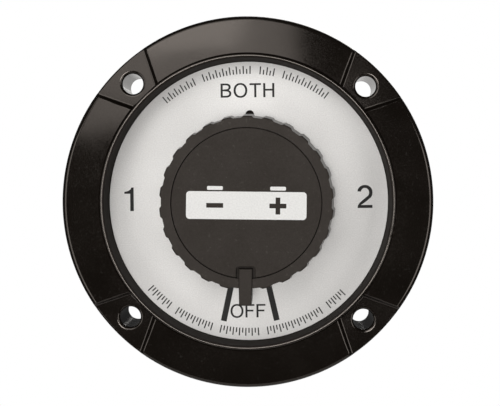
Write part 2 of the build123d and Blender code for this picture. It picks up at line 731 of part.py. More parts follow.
CONTACT_THICKNESS = FIXED_CONTACT_FRONT - FIXED_CONTACT_BACK
for name, start, end in (
    ("contact_1", TRACK_1_START, TRACK_1_END),
    ("contact_2", TRACK_2_START, TRACK_2_END),
):
    with BuildPart() as track:
        with BuildSketch(face_on(FIXED_CONTACT_BACK)):
            add(band_sketch(TRACK_INNER, TRACK_OUTER, start, end))
        extrude(amount=CONTACT_THICKNESS)
    save(track, name)


with BuildPart() as contact_common:
    with BuildSketch(face_on(FIXED_CONTACT_BACK)):
        Circle(COMMON_OUTER)
        with Locations((0, -(COMMON_INNER + STUD_CIRCLE) / 2)):
            Rectangle(COMMON_STRAP_WIDTH, STUD_CIRCLE - COMMON_INNER)
        with Locations((0, -STUD_CIRCLE)):
            Circle(COMMON_STRAP_WIDTH / 2)
        Circle(COMMON_INNER, mode=Mode.SUBTRACT)
    extrude(amount=CONTACT_THICKNESS)

save(contact_common, "contact_common")


# ---- rear cover with its barriers and stud holes

with BuildPart() as rear_cover:
    with BuildSketch(face_on(COVER_BACK)):
        Circle(COVER_RADIUS)
    extrude(amount=COVER_FRONT - COVER_BACK)
    with BuildSketch(face_on(COVER_FRONT)):
        Circle(SPIGOT_RADIUS)
    extrude(amount=SPIGOT_FRONT - COVER_FRONT)
    # barriers between the terminals
    with BuildSketch(face_on(BARRIER_BACK)):
        Circle(BARRIER_HUB_RADIUS)
        for barrier in range(STUD_COUNT):
            barrier_angle = BARRIER_START + 360 / STUD_COUNT * barrier
            with Locations(Location((*polar(BARRIER_OUTER / 2, barrier_angle), 0), barrier_angle)):
                Rectangle(BARRIER_OUTER, BARRIER_THICKNESS)
    extrude(amount=COVER_BACK - BARRIER_BACK)
    # stud holes, with pockets for the stud heads
    with BuildSketch(face_on(COVER_BACK)):
        with PolarLocations(STUD_CIRCLE, STUD_COUNT, start_angle=STUD_2_ANGLE):
            Circle(STUD_HOLE)
    extrude(amount=SPIGOT_FRONT - COVER_BACK, mode=Mode.SUBTRACT)
    with BuildSketch(face_on(SPIGOT_FRONT - STUD_HEAD_HEIGHT)):
        with PolarLocations(STUD_CIRCLE, STUD_COUNT, start_angle=STUD_2_ANGLE):
            Circle(STUD_HEAD_RADIUS + STUD_HEAD_CLEARANCE)
    extrude(amount=STUD_HEAD_HEIGHT, mode=Mode.SUBTRACT)
    # screw holes
    with BuildSketch(face_on(COVER_BACK)):
        with PolarLocations(COVER_SCREW_CIRCLE, COVER_SCREW_COUNT):
            Circle(COVER_SCREW_HOLE)
    extrude(amount=SPIGOT_FRONT - COVER_BACK, mode=Mode.SUBTRACT)

save(rear_cover, "rear_cover")


with BuildPart() as cover_gasket:
    with BuildSketch(face_on(COVER_FRONT)):
        Circle(COVER_RADIUS)
        Circle(GASKET_INNER, mode=Mode.SUBTRACT)
    extrude(amount=BARREL_BACK - COVER_FRONT)

save(cover_gasket, "cover_gasket")


with BuildPart() as cover_screws:
    with BuildSketch(face_on(COVER_BACK)):
        with PolarLocations(COVER_SCREW_CIRCLE, COVER_SCREW_COUNT):
            Circle(COVER_SCREW_RADIUS)
    extrude(amount=COVER_SCREW_END - COVER_BACK)
    with BuildSketch(face_on(COVER_BACK)):
        with PolarLocations(COVER_SCREW_CIRCLE, COVER_SCREW_COUNT):
            Circle(COVER_SCREW_HEAD)
    extrude(amount=-COVER_SCREW_HEAD_HEIGHT)
    head_faces = cover_screws.faces().filter_by(Axis.Y).group_by(Axis.Y)[-1]
    fillet(head_faces.edges(), COVER_SCREW_HEAD_ROUND)
    with BuildSketch(face_on(COVER_BACK - COVER_SCREW_HEAD_HEIGHT)):
        with PolarLocations(COVER_SCREW_CIRCLE, COVER_SCREW_COUNT):
            Rectangle(COVER_SCREW_RECESS_LENGTH, COVER_SCREW_RECESS_WIDTH)
            Rectangle(COVER_SCREW_RECESS_WIDTH, COVER_SCREW_RECESS_LENGTH)
    extrude(amount=COVER_SCREW_RECESS_DEPTH, mode=Mode.SUBTRACT)

save(cover_screws, "cover_screws")


# ---- terminal studs and their hardware
# Inside the nuts a stud has its thread's pitch radius, and behind them its full radius.

jam_nut_front = COVER_BACK - WASHER_THICKNESS
terminal_washer_front = jam_nut_front - JAM_NUT_HEIGHT
lock_washer_front = terminal_washer_front - WASHER_THICKNESS
terminal_nut_front = lock_washer_front - LOCK_WASHER_THICKNESS
stud_free_front = terminal_nut_front - TERMINAL_NUT_HEIGHT - STUD_FREE_GAP

for name, angle in (
    ("stud_1", STUD_1_ANGLE),
    ("stud_2", STUD_2_ANGLE),
    ("stud_common", STUD_COMMON_ANGLE),
):
    stud_centre = polar(STUD_CIRCLE, angle)
    with BuildPart() as stud:
        with BuildSketch(face_on(STUD_BACK)):
            with Locations(stud_centre):
                Circle(STUD_RADIUS)
        extrude(amount=stud_free_front - STUD_BACK)
        chamfer(stud.faces().sort_by(Axis.Y)[-1].edges(), STUD_TIP_CHAMFER)
        with BuildSketch(face_on(stud_free_front)):
            with Locations(stud_centre):
                Circle(STUD_ENGAGED_RADIUS)
        extrude(amount=SPIGOT_FRONT - stud_free_front)
        with BuildSketch(face_on(SPIGOT_FRONT)):
            with Locations(stud_centre):
                Circle(STUD_HEAD_RADIUS)
        extrude(amount=-STUD_HEAD_HEIGHT)
    save(stud, name)


def washer_set(front):
    """Three flat washers on the studs, with their front faces at a height."""
    with BuildPart() as washers:
        with BuildSketch(face_on(front)):
            with PolarLocations(STUD_CIRCLE, STUD_COUNT, start_angle=STUD_2_ANGLE):
                Circle(WASHER_RADIUS)
            with PolarLocations(STUD_CIRCLE, STUD_COUNT, start_angle=STUD_2_ANGLE):
                Circle(WASHER_BORE, mode=Mode.SUBTRACT)
        extrude(amount=-WASHER_THICKNESS)
    return washers


def nut_set(front, height):
    """Three hexagon nuts on the studs, with the corners turned off at both ends."""
    corner_radius = NUT_ACROSS_FLATS / 2 / cos(radians(30))
    with BuildPart() as turned_blanks:
        with BuildSketch(face_on(front)):
            with PolarLocations(STUD_CIRCLE, STUD_COUNT, start_angle=STUD_2_ANGLE):
                Circle(corner_radius)
        extrude(amount=-height)
        chamfer(turned_blanks.edges().filter_by(GeomType.CIRCLE), NUT_CORNER_CHAMFER)
    with BuildPart() as nuts:
        with BuildSketch(face_on(front)):
            with PolarLocations(STUD_CIRCLE, STUD_COUNT, start_angle=STUD_2_ANGLE):
                RegularPolygon(corner_radius, 6)
            with PolarLocations(STUD_CIRCLE, STUD_COUNT, start_angle=STUD_2_ANGLE):
                Circle(NUT_BORE, mode=Mode.SUBTRACT)
        extrude(amount=-height)
        add(turned_blanks.part, mode=Mode.INTERSECT)
    return nuts


cover_washers = washer_set(COVER_BACK)
save(cover_washers, "cover_washers")

jam_nuts = nut_set(jam_nut_front, JAM_NUT_HEIGHT)
save(jam_nuts, "jam_nuts")

terminal_washers = washer_set(terminal_washer_front)
save(terminal_washers, "terminal_washers")

with BuildPart() as lock_washers:
    with BuildSketch(face_on(lock_washer_front)):
        with PolarLocations(STUD_CIRCLE, STUD_COUNT, start_angle=STUD_2_ANGLE):
            Circle(LOCK_WASHER_RADIUS)
        with PolarLocations(STUD_CIRCLE, STUD_COUNT, start_angle=STUD_2_ANGLE):
            Circle(WASHER_BORE, mode=Mode.SUBTRACT)
        with PolarLocations(STUD_CIRCLE + LOCK_WASHER_RADIUS, STUD_COUNT, start_angle=STUD_2_ANGLE):
            Rectangle(2 * (LOCK_WASHER_RADIUS - LOCK_WASHER_BAND), LOCK_WASHER_GAP, mode=Mode.SUBTRACT)
    extrude(amount=-LOCK_WASHER_THICKNESS)
save(lock_washers, "lock_washers")

terminal_nuts = nut_set(terminal_nut_front, TERMINAL_NUT_HEIGHT)
save(terminal_nuts, "terminal_nuts")
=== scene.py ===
from math import ceil, cos, pi, radians, sin

import bmesh
import bpy
from mathutils import Matrix, Vector


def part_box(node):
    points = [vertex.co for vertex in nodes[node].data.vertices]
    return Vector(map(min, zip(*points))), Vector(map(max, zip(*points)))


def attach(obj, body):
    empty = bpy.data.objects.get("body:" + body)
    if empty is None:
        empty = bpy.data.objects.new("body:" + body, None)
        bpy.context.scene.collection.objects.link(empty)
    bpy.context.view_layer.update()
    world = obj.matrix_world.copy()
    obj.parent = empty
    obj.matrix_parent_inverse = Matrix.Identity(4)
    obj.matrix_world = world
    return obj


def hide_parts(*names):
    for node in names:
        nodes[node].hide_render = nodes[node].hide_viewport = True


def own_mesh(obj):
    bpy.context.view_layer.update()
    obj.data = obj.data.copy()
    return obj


# The looks of a marine battery selector switch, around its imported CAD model.
# Metres, in the CAD frame: the origin is on the mounting plane, the knob faces -Y and +Z is up.
# Flat artwork is drawn in millimetres, as seen from the front: x to the right and y up.

MM = 0.001

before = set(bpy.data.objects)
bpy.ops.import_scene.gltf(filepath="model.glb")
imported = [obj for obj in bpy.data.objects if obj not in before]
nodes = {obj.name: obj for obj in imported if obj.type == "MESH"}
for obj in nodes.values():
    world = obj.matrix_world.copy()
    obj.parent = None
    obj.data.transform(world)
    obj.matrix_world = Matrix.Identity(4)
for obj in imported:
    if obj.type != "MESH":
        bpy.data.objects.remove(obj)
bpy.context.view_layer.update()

# ---- camera: in front of the switch, a little above and to the right of its axis

# The view is FRAME_WIDTH wide in a plane that lies VIEW_PLANE in front of the mounting plane, and
# CAMERA_DISTANCE is measured from that plane. The roll is in degrees, the shift in frame widths.
VIEW_PLANE = 0.019
FRAME_WIDTH = 0.1796
SENSOR_WIDTH = 36
CAMERA_DISTANCE = 0.320
CAMERA_ASIDE = 0.0114
CAMERA_ABOVE = 0.0104
CAMERA_ROLL = 0.6
CAMERA_SHIFT = -0.06

camera_data = bpy.data.cameras.new("camera")
camera_data.sensor_width = SENSOR_WIDTH
camera_data.lens = SENSOR_WIDTH * CAMERA_DISTANCE / FRAME_WIDTH
camera_data.shift_x = CAMERA_SHIFT
camera_data.shift_y = CAMERA_SHIFT
camera_data.clip_start = 0.01
camera = bpy.data.objects.new("camera", camera_data)
bpy.context.scene.collection.objects.link(camera)
camera.matrix_world = (
    Matrix.Translation((CAMERA_ASIDE, -VIEW_PLANE - CAMERA_DISTANCE, CAMERA_ABOVE))
    @ Matrix.Rotation(radians(90), 4, "X")
    @ Matrix.Rotation(radians(CAMERA_ROLL), 4, "Z")
)
bpy.context.scene.camera = camera
bpy.context.scene.view_settings.view_transform = "Standard"


# ---- node helpers

def add_node(tree, kind, settings=None, **inputs):
    """A shader node with its properties set, and its inputs set or linked."""
    node = tree.nodes.new("ShaderNode" + kind)
    for key, value in (settings or {}).items():
        setattr(node, key, value)
    for key, value in inputs.items():
        socket = node.inputs[key.replace("_", " ")]
        if isinstance(value, bpy.types.NodeSocket):
            tree.links.new(value, socket)
        else:
            socket.default_value = value
    return node


def noise(tree, place, size, detail=2.0, squeeze=(1, 1, 1)):
    """Noise whose blobs are about `size` metres across, and so many times smaller along each axis."""
    mapped = add_node(tree, "Mapping", Vector=place, Scale=tuple(s / size for s in squeeze))
    found = add_node(tree, "TexNoise", Vector=mapped.outputs["Vector"], Scale=1.0, Detail=detail)
    return found.outputs["Fac"]


def graded(tree, factor, low, high, low_value, high_value):
    """The factor's range from low to high, spread over low_value to high_value."""
    ranged = add_node(tree, "MapRange", Value=factor, From_Min=low, From_Max=high,
                      To_Min=low_value, To_Max=high_value)
    return ranged.outputs["Result"]


def spread(tree, cloud, low_value, high_value):
    """Noise, with the range where most of it lies spread over low_value to high_value."""
    return graded(tree, cloud, 0.3, 0.7, low_value, high_value)


def combined(tree, operation, first, second):
    """The sum or the product of two values."""
    result = add_node(tree, "Math", {"operation": operation})
    tree.links.new(first, result.inputs[0])
    tree.links.new(second, result.inputs[1])
    return result.outputs["Value"]


def mixed(tree, factor, first, second):
    """One colour turning into another."""
    blend = tree.nodes.new("ShaderNodeMix")
    blend.data_type = "RGBA"
    for socket, value in ((blend.inputs[0], factor), (blend.inputs[6], first), (blend.inputs[7], second)):
        if isinstance(value, bpy.types.NodeSocket):
            tree.links.new(value, socket)
        else:
            socket.default_value = value
    return blend.outputs[2]


def colour(red, green, blue):
    return (red, green, blue, 1.0)


def start_material(name):
    """A new material, its node tree, its shader, and the place on the object in metres."""
    material = bpy.data.materials.new(name)
    material.use_nodes = True
    tree = material.node_tree
    shader = tree.nodes["Principled BSDF"]
    place = add_node(tree, "TexCoord").outputs["Object"]
    return material, tree, shader, place


def bumped(tree, shader, height, distance):
    """Relief that is `distance` metres deep where the height goes from 0 to 1."""
    bump = add_node(tree, "Bump", Height=height, Distance=distance)
    tree.links.new(bump.outputs["Normal"], shader.inputs["Normal"])


def from_axis(tree, place, inner, outer):
    """0 nearer the knob's axis than the inner radius, and 1 beyond the outer one."""
    flat = add_node(tree, "VectorMath", {"operation": "MULTIPLY"})
    tree.links.new(place, flat.inputs[0])
    flat.inputs[1].default_value = (1, 0, 1)
    radius = add_node(tree, "VectorMath", {"operation": "LENGTH"})
    tree.links.new(flat.outputs["Vector"], radius.inputs[0])
    return graded(tree, radius.outputs["Value"], inner, outer, 0.0, 1.0)


def in_depth(tree, place, front, back):
    """0 in front of one place along Y, and 1 behind the other."""
    parts = add_node(tree, "SeparateXYZ", Vector=place)
    return graded(tree, parts.outputs["Y"], front, back, 0.0, 1.0)


# the ring, just outside the cap's pocket, over which the knob's flank begins
FLANK_START = 26.4 * MM
FLANK_FULL = 27.0 * MM


def on_flank(tree, place, front, back):
    """0 on the knob's face and inside its pocket, and 1 on its flank and the pointer's sides."""
    behind_face = in_depth(tree, place, front, back)
    return combined(tree, "MULTIPLY", behind_face, from_axis(tree, place, FLANK_START, FLANK_FULL))


# the size of the patches over which plastic changes its tone, and metal its tarnish
TONE_PATCH = 12 * MM
TARNISH_PATCH = 9 * MM

# specks: their size in grains, the noise values at which they begin and are full, and their strength
SPECK_GRAINS = 2.2
SPECK_BEGINS, SPECK_FULL = 0.66, 0.80
SPECK_STRENGTH = 0.55

# tarnish: the noise values at which it begins and is full, and its strength
TARNISH_BEGINS, TARNISH_FULL = 0.52, 0.74
TARNISH_STRENGTH = 0.75


def plastic(name, dark, pale, roughness, grain, bump_depth, speck, zone=None, warmth=None, shine=0.5):
    """Moulded plastic: a fine grain, slow changes of tone, pale specks of dust and wear, and uneven gloss.
    A zone is a way to measure a place, the two values between which the finish changes, and the roughness
    to add below the first and beyond the second. Warmth is the tint of its reflections, and shine their
    strength."""
    material, tree, shader, place = start_material(name)
    slow = noise(tree, place, TONE_PATCH, 3.0)
    fine = noise(tree, place, grain, 3.0)
    specks = noise(tree, place, SPECK_GRAINS * grain, 1.0)
    tone = mixed(tree, spread(tree, slow, 0.0, 1.0), dark, pale)
    tone = mixed(tree, graded(tree, specks, SPECK_BEGINS, SPECK_FULL, 0.0, SPECK_STRENGTH), tone, speck)
    tree.links.new(tone, shader.inputs["Base Color"])
    shader.inputs["Specular IOR Level"].default_value = shine
    if warmth:
        shader.inputs["Specular Tint"].default_value = warmth
    worn = combined(tree, "ADD", spread(tree, slow, *roughness), spread(tree, fine, -0.04, 0.04))
    if zone:
        measure, low, high, below, beyond = zone
        extra = graded(tree, measure(tree, place, low, high), 0.0, 1.0, below, beyond)
        worn = combined(tree, "ADD", worn, extra)
    tree.links.new(worn, shader.inputs["Roughness"])
    bumped(tree, shader, fine, bump_depth)
    return material


def metal(name, dark, pale, roughness, grain, squeeze, bump_depth, stain):
    """Worked metal: fine tool marks, squeezed along some axes, uneven polish and slight tarnish."""
    material, tree, shader, place = start_material(name)
    slow = noise(tree, place, TARNISH_PATCH, 4.0)
    marks = noise(tree, place, grain, 3.0, squeeze)
    tone = mixed(tree, spread(tree, marks, 0.0, 1.0), dark, pale)
    tone = mixed(tree, graded(tree, slow, TARNISH_BEGINS, TARNISH_FULL, 0.0, TARNISH_STRENGTH), tone, stain)
    tree.links.new(tone, shader.inputs["Base Color"])
    shader.inputs["Metallic"].default_value = 1.0
    polish = combined(tree, "ADD", spread(tree, slow, *roughness), spread(tree, marks, -0.06, 0.06))
    tree.links.new(polish, shader.inputs["Roughness"])
    bumped(tree, shader, marks, bump_depth)
    return material


def label_finish():
    """Silver-painted label: a fine bright and dark metallic grain over a soft satin."""
    material, tree, shader, place = start_material("label_silver")
    grain = noise(tree, place, 0.42 * MM, 2.0)
    cloud = noise(tree, place, 1.6 * MM, 3.0)
    drift = noise(tree, place, 30 * MM, 2.0)
    tone = mixed(tree, graded(tree, grain, 0.28, 0.72, 0.0, 1.0),
                 colour(0.655, 0.645, 0.635), colour(0.80, 0.795, 0.785))
    tone = mixed(tree, graded(tree, cloud, 0.35, 0.65, 0.0, 0.35), tone, colour(0.70, 0.692, 0.685))
    tree.links.new(tone, shader.inputs["Base Color"])
    shader.inputs["Metallic"].default_value = 0.25
    tree.links.new(spread(tree, drift, 0.50, 0.60), shader.inputs["Roughness"])
    bumped(tree, shader, grain, 0.012 * MM)
    return material


def ink_finish(name, base, rubbed):
    """Printed ink, a little rubbed and uneven."""
    material, tree, shader, place = start_material(name)
    cover = noise(tree, place, 0.5 * MM, 3.0)
    tone = mixed(tree, graded(tree, cover, 0.35, 0.75, 0.0, 1.0), base, rubbed)
    tree.links.new(tone, shader.inputs["Base Color"])
    tree.links.new(spread(tree, cover, 0.62, 0.8), shader.inputs["Roughness"])
    bumped(tree, shader, cover, 0.006 * MM)
    return material


def rubber_finish(name):
    """Moulded rubber with a faint grey bloom."""
    material, tree, shader, place = start_material(name)
    bloom = noise(tree, place, 3 * MM, 4.0)
    tone = mixed(tree, graded(tree, bloom, 0.35, 0.75, 0.0, 1.0),
                 colour(0.012, 0.012, 0.012), colour(0.035, 0.034, 0.033))
    tree.links.new(tone, shader.inputs["Base Color"])
    tree.links.new(spread(tree, bloom, 0.6, 0.8), shader.inputs["Roughness"])
    bumped(tree, shader, noise(tree, place, 0.4 * MM, 2.0), 0.02 * MM)
    return material


WARM = colour(1.0, 0.90, 0.83)

# the well's wall is matt, and the knob's flank is smoother than its face
WELL_ZONE = (from_axis, 51.8 * MM, 52.1 * MM, 0.85, 0.0)
KNOB_ZONE = (on_flank, -34.2 * MM, -33.9 * MM, 0.0, -0.26)

HOUSING_BLACK = plastic(
    "housing_black", dark=colour(0.0042, 0.0030, 0.0021), pale=colour(0.0058, 0.0043, 0.0032),
    roughness=(0.10, 0.14), grain=0.5 * MM, bump_depth=0.0012 * MM, speck=colour(0.022, 0.020, 0.018),
    zone=WELL_ZONE, warmth=WARM,
)
KNOB_BLACK = plastic(
    "knob_black", dark=colour(0.0060, 0.0044, 0.0032), pale=colour(0.0095, 0.0075, 0.0060),
    roughness=(0.56, 0.66), grain=0.55 * MM, bump_depth=0.03 * MM, speck=colour(0.042, 0.038, 0.033),
    zone=KNOB_ZONE, warmth=WARM, shine=0.45,
)
CAP_BLACK = plastic(
    "cap_black", dark=colour(0.0065, 0.0048, 0.0036), pale=colour(0.0110, 0.0088, 0.0070),
    roughness=(0.60, 0.70), grain=0.6 * MM, bump_depth=0.045 * MM, speck=colour(0.046, 0.042, 0.037),
    warmth=WARM, shine=0.45,
)
COVER_BLACK = plastic(
    "cover_black", dark=colour(0.012, 0.012, 0.012), pale=colour(0.022, 0.021, 0.020),
    roughness=(0.40, 0.55), grain=0.7 * MM, bump_depth=0.03 * MM, speck=colour(0.06, 0.06, 0.06),
)
ROTOR_PLASTIC = plastic(
    "rotor_plastic", dark=colour(0.58, 0.53, 0.42), pale=colour(0.68, 0.64, 0.53),
    roughness=(0.40, 0.52), grain=0.6 * MM, bump_depth=0.02 * MM, speck=colour(0.40, 0.36, 0.28),
)
WASHER_PLASTIC = plastic(
    "washer_plastic", dark=colour(0.72, 0.72, 0.68), pale=colour(0.80, 0.80, 0.77),
    roughness=(0.35, 0.45), grain=0.5 * MM, bump_depth=0.01 * MM, speck=colour(0.55, 0.54, 0.50),
)
BRASS = metal(
    "brass", dark=colour(0.62, 0.44, 0.17), pale=colour(0.78, 0.60, 0.28), roughness=(0.22, 0.34),
    grain=0.25 * MM, squeeze=(1, 6, 1), bump_depth=0.004 * MM, stain=colour(0.40, 0.27, 0.11),
)
COPPER = metal(
    "copper", dark=colour(0.66, 0.33, 0.20), pale=colour(0.80, 0.46, 0.31), roughness=(0.24, 0.36),
    grain=0.3 * MM, squeeze=(0.3, 1, 3), bump_depth=0.004 * MM, stain=colour(0.42, 0.20, 0.12),
)
STEEL = metal(
    "plated_steel", dark=colour(0.50, 0.50, 0.49), pale=colour(0.66, 0.66, 0.65), roughness=(0.24, 0.38),
    grain=0.2 * MM, squeeze=(1, 1, 1), bump_depth=0.003 * MM, stain=colour(0.36, 0.35, 0.33),
)
SPRING_WIRE = metal(
    "spring_wire", dark=colour(0.40, 0.40, 0.40), pale=colour(0.55, 0.55, 0.55), roughness=(0.25, 0.35),
    grain=0.15 * MM, squeeze=(1, 1, 1), bump_depth=0.002 * MM, stain=colour(0.25, 0.24, 0.23),
)
LABEL_SILVER = label_finish()
RUBBER = rubber_finish("rubber")
BLACK_INK = ink_finish("black_ink", base=colour(0.004, 0.0035, 0.003), rubbed=colour(0.012, 0.011, 0.010))
WHITE_INK = ink_finish("white_ink", base=colour(0.80, 0.80, 0.79), rubbed=colour(0.70, 0.70, 0.69))

# ---- CAD nodes that keep their own shape

FINISHES = {
    HOUSING_BLACK: ("housing",),
    LABEL_SILVER: ("label_plate",),
    KNOB_BLACK: ("knob",),
    CAP_BLACK: ("knob_cap",),
    COVER_BLACK: ("barrel", "rear_cover"),
    ROTOR_PLASTIC: ("rotor",),
    WASHER_PLASTIC: ("thrust_washer", "detent_ring"),
    BRASS: ("shaft", "shaft_bushing", "stud_1", "stud_2", "stud_common", "jam_nuts", "terminal_nuts"),
    COPPER: ("contact_1", "contact_2", "contact_common", "moving_contact"),
    STEEL: ("knob_washer", "knob_screw", "detent_ball_left", "detent_ball_right", "cover_screws",
            "cover_washers", "terminal_washers", "lock_washers"),
    SPRING_WIRE: ("retaining_ring", "detent_spring_left", "detent_spring_right", "contact_springs"),
    RUBBER: ("shaft_seal", "cover_gasket"),
}
for finish, names in FINISHES.items():
    for name in names:
        nodes[name].data.materials.clear()
        nodes[name].data.materials.append(finish)


# ---- flat artwork

FACE_ON = Matrix.Rotation(radians(90), 4, "X")
CORNER_STEPS = 6

# printed ink is a film this deep, with its back this far inside the face that it is on
INK_DEPTH = 0.03 * MM
INK_SUNK = 0.01 * MM


def polar(radius, angle):
    return (radius * cos(radians(angle)), radius * sin(radians(angle)))


def turned(outlines, angle):
    """Outlines turned about the origin, counter-clockwise as seen from the front."""
    c, s = cos(radians(angle)), sin(radians(angle))
    return [[(c * x - s * y, s * x + c * y) for x, y in outline] for outline in outlines]


def moved(outlines, across, up, scale=1.0):
    """Outlines scaled about the origin, and then moved."""
    return [[(scale * x + across, scale * y + up) for x, y in outline] for outline in outlines]


def rectangle(left, low, right, high):
    return [(left, low), (right, low), (right, high), (left, high)]


def rounded(left, low, right, high, radius):
    """A rectangle with round corners."""
    corners = ((right - radius, low + radius, -90), (right - radius, high - radius, 0),
               (left + radius, high - radius, 90), (left + radius, low + radius, 180))
    points = []
    for across, up, start in corners:
        for i in range(CORNER_STEPS + 1):
            x, y = polar(radius, start + 90 * i / CORNER_STEPS)
            points.append((across + x, up + y))
    return points


def bowl(across, up, half_width, half_height, start, end, power=2.3, steps=28):
    """Part of a slightly squared ellipse, counter-clockwise from one angle to the other."""
    points = []
    for i in range(steps + 1):
        angle = radians(start + (end - start) * i / steps)
        c, s = cos(angle), sin(angle)
        x = abs(c) ** (2 / power) * (1 if c >= 0 else -1)
        y = abs(s) ** (2 / power) * (1 if s >= 0 else -1)
        points.append((across + half_width * x, up + half_height * y))
    return points


def printed(name, outlines, height, material, body):
    """A thin film of ink on a face `height` metres in front of the mounting plane."""
    curve = bpy.data.curves.new(name, "CURVE")
    curve.dimensions = "2D"
    curve.fill_mode = "BOTH"
    curve.extrude = INK_DEPTH / 2
    for outline in outlines:
        spline = curve.splines.new("POLY")
        spline.points.add(len(outline) - 1)
        spline.use_cyclic_u = True
        for point, (x, y) in zip(spline.points, outline):
            point.co = (x * MM, y * MM, 0, 1)
    source = bpy.data.objects.new(name + "_curve", curve)
    mesh = bpy.data.meshes.new_from_object(source)
    bpy.data.objects.remove(source)
    bpy.data.curves.remove(curve)
    mesh.transform(FACE_ON)
    mesh.transform(Matrix.Translation((0, -height + INK_SUNK - INK_DEPTH / 2, 0)))
    mesh.materials.clear()
    mesh.materials.append(material)
    piece = bpy.data.objects.new(name, mesh)
    bpy.context.scene.collection.objects.link(piece)
    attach(piece, body)
    return piece


# ---- letters and numerals of a plain sans serif, one unit high, each with its width

STEM = 0.152
BAR = 0.130


def glyph_h():
    width, crossbar = 0.79, 0.46
    right = width - STEM
    return [[(0, 0), (STEM, 0), (STEM, crossbar), (right, crossbar), (right, 0), (width, 0), (width, 1),
             (right, 1), (right, crossbar + BAR), (STEM, crossbar + BAR), (STEM, 1), (0, 1)]], width


def glyph_t():
    width = 0.81
    left, right = (width - STEM) / 2, (width + STEM) / 2
    return [[(left, 0), (right, 0), (right, 1 - BAR), (width, 1 - BAR), (width, 1), (0, 1),
             (0, 1 - BAR), (left, 1 - BAR)]], width


def glyph_f():
    width, arm, crossbar = 0.68, 0.60, 0.45
    return [[(0, 0), (STEM, 0), (STEM, crossbar), (arm, crossbar), (arm, crossbar + BAR),
             (STEM, crossbar + BAR), (STEM, 1 - BAR), (width, 1 - BAR), (width, 1), (0, 1)]], width


def glyph_o():
    half_width, half_height = 0.488, 0.525
    outer = bowl(half_width, 0.5, half_width, half_height, 0, 360, 2.15, 64)[:-1]
    inner = bowl(half_width, 0.5, half_width - STEM, half_height - BAR, 0, 360, 2.15, 64)[:-1]
    return [outer, inner], 2 * half_width


def glyph_b():
    waist, bend = 0.525, 0.36
    lower = [p for p in bowl(bend, 0.28, 0.40, 0.28, -90, 90) if p[1] <= waist]
    upper = [p for p in bowl(bend, 0.745, 0.355, 0.255, -90, 90) if p[1] >= waist]
    outer = [(0, 0), *lower, *upper, (0, 1)]
    low_eye = [(STEM, BAR), *bowl(bend, 0.285, 0.40 - STEM, 0.285 - BAR, -90, 90), (STEM, 0.462)]
    high_eye = [(STEM, 0.57), *bowl(bend, 0.731, 0.355 - STEM, 0.269 - BAR, -90, 90), (STEM, 1 - BAR)]
    return [outer, low_eye, high_eye], 0.76


def glyph_1():
    left, flag_foot = 0.245, 0.735
    width = left + STEM
    flag = [(left + 0.05, 1), (left + 0.03, 0.93), (0.19, 0.87), (0.11, 0.835), (0, 0.82)]
    return [[(left, 0), (width, 0), (width, 1), *flag, (0, flag_foot), (left, flag_foot)]], width


def glyph_2():
    half = 0.33
    top = bowl(half, 1 - half, half, half, 172, -38, 2.1, 36)
    under = bowl(half, 1 - half, half - STEM, half - BAR, 168, -40, 2.1, 36)
    foot_right = 2 * half - 0.01
    outline = [
        *top,
        (0.36, 0.27), (0.235, 0.185), (0.155, BAR),
        (foot_right, BAR), (foot_right, 0), (0, 0), (0.02, 0.12), (0.10, 0.235), (0.26, 0.37),
        *reversed(under),
    ]
    return [outline], 2 * half


GLYPHS = {"B": glyph_b, "O": glyph_o, "T": glyph_t, "H": glyph_h, "F": glyph_f, "1": glyph_1, "2": glyph_2}


def word(letters, cap_height, gap):
    """Outlines of a word, centred on the origin, with `gap` cap heights between letters."""
    outlines, reach = [], 0.0
    for letter in letters:
        shape, width = GLYPHS[letter]()
        outlines += moved(shape, reach, 0)
        reach += width + gap
    width = reach - gap
    return moved(moved(outlines, -width / 2, -0.5), 0, 0, cap_height)


# ---- artwork on the dial

DIAL_TURN = 1.3
label_front = -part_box("label_plate")[0].y


def dial_print(name, outlines):
    return printed(name, turned(outlines, DIAL_TURN), label_front, BLACK_INK, "switch_body")


# each mark's name, letters, cap height, letter gap in cap heights, and the place of its middle
DIAL_MARKS = (
    ("mark_both", "BOTH", 5.2, 0.16, 0.0, 40.8),
    ("mark_off", "OFF", 4.9, 0.15, -0.8, -40.6),
    ("mark_1", "1", 8.7, 0, -44.2, 1.1),
    ("mark_2", "2", 8.5, 0, 42.9, 1.1),
)
for mark_name, letters, cap_height, letter_gap, mark_across, mark_up in DIAL_MARKS:
    dial_print(mark_name, moved(word(letters, cap_height, letter_gap), mark_across, mark_up))

# two radial bars, one on each side of the lowest mark
BAR_ANGLE = 12.5
BAR_INNER, BAR_OUTER = 26.5, 45.3
BAR_HALF = 1.08
for bar_name, bar_angle in (("off_bar_left", 270 - BAR_ANGLE), ("off_bar_right", 270 + BAR_ANGLE)):
    dial_print(bar_name, turned([rectangle(BAR_INNER, -BAR_HALF, BAR_OUTER, BAR_HALF)], bar_angle))

TICK_INNER = 46.9
TICK_LENGTH = 2.9
TICK_HALF = 0.22
SHORT_TICK = 0.62
GROUP_GAP = 2


def tick_arc(name, start, end, groups):
    """Fine radial ticks from one angle to another, in groups of so many; every other tick is shorter."""
    places, reach = [], 0
    for count in groups:
        places += [(reach + i, i) for i in range(count)]
        reach += count + GROUP_GAP
    last = reach - GROUP_GAP - 1
    outlines = []
    for place, within in places:
        angle = start + (end - start) * place / last
        length = TICK_LENGTH if within % 2 == 0 else SHORT_TICK * TICK_LENGTH
        outlines += turned([rectangle(TICK_INNER, -TICK_HALF, TICK_INNER + length, TICK_HALF)], angle)
    dial_print(name, outlines)


tick_arc("tick_arc_top", start=129, end=53, groups=(11, 15, 5, 15))
tick_arc("tick_arc_bottom", start=221, end=315, groups=(9, 13, 13, 19, 7))

# ---- battery pictogram on the knob's cap: a case with two posts, a minus and a plus

